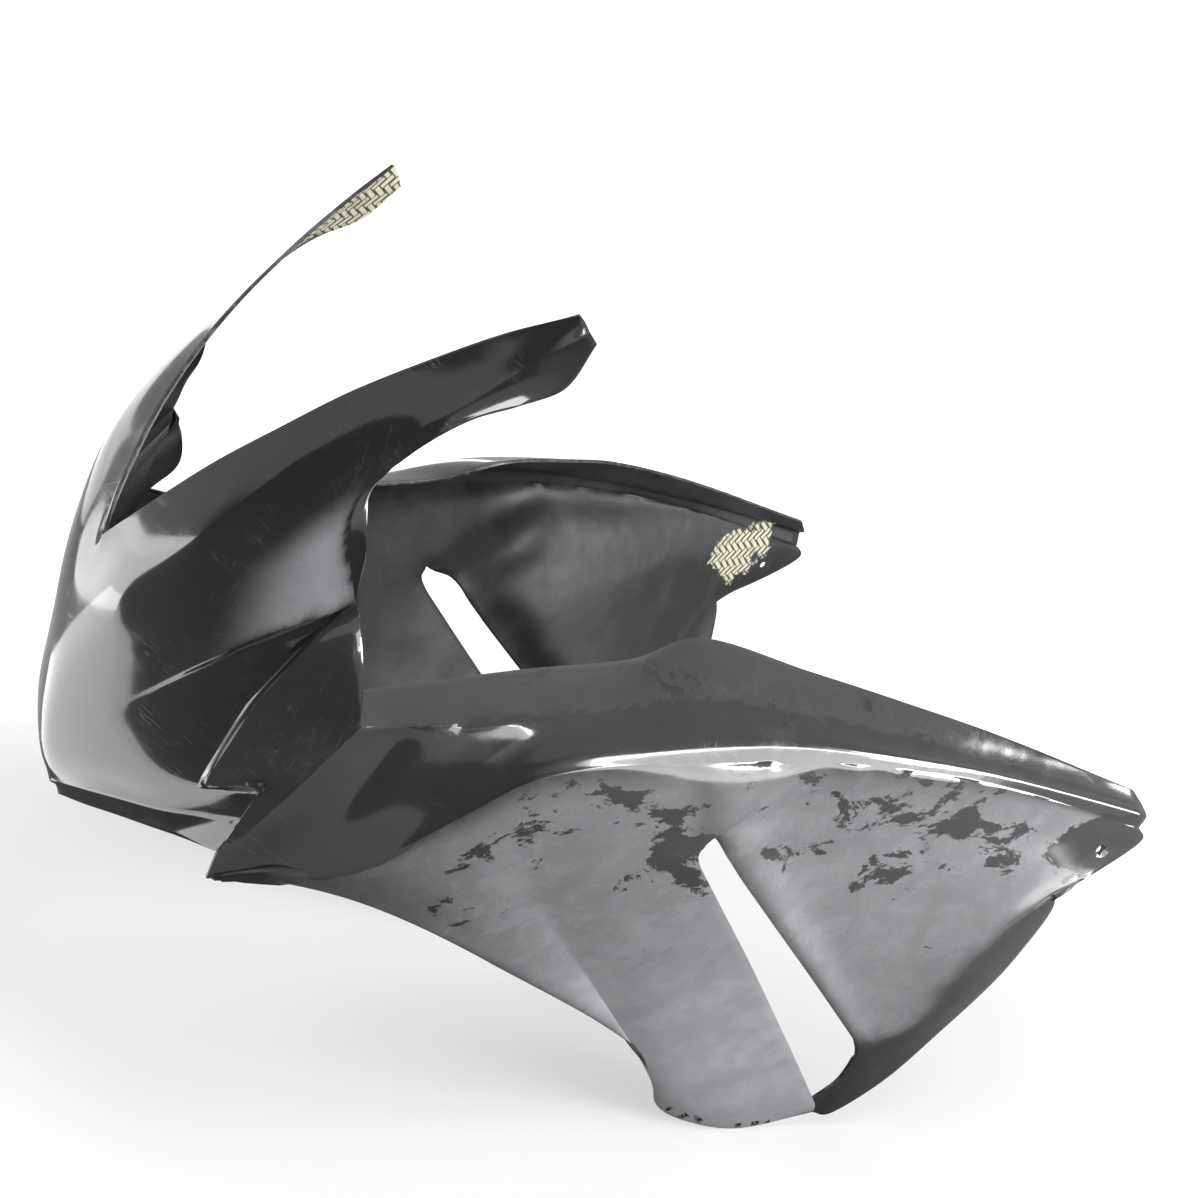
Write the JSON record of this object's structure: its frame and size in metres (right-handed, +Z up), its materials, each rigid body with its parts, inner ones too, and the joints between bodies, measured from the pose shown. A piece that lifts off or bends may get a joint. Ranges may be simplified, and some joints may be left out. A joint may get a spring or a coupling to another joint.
{
  "type": "motorcycle fairing",
  "caption": "Moulded race fairing in one piece: pointed nose with a screen cut, arms that reach back, and long side panels with a slanted vent slot each.",
  "frame": {"origin": "the middle of the bounding box, on the middle plane of the body", "axes": "+X to the nose, +Y to the rider's left, +Z up as mounted on the motorcycle"},
  "size_m": [0.9394, 0.498, 0.7454],
  "materials": {
    "shell": "gloss black gelcoat, scuffed"
  },
  "bodies": {
    "root": {"fairing": "shell"}
  },
  "joints": []
}
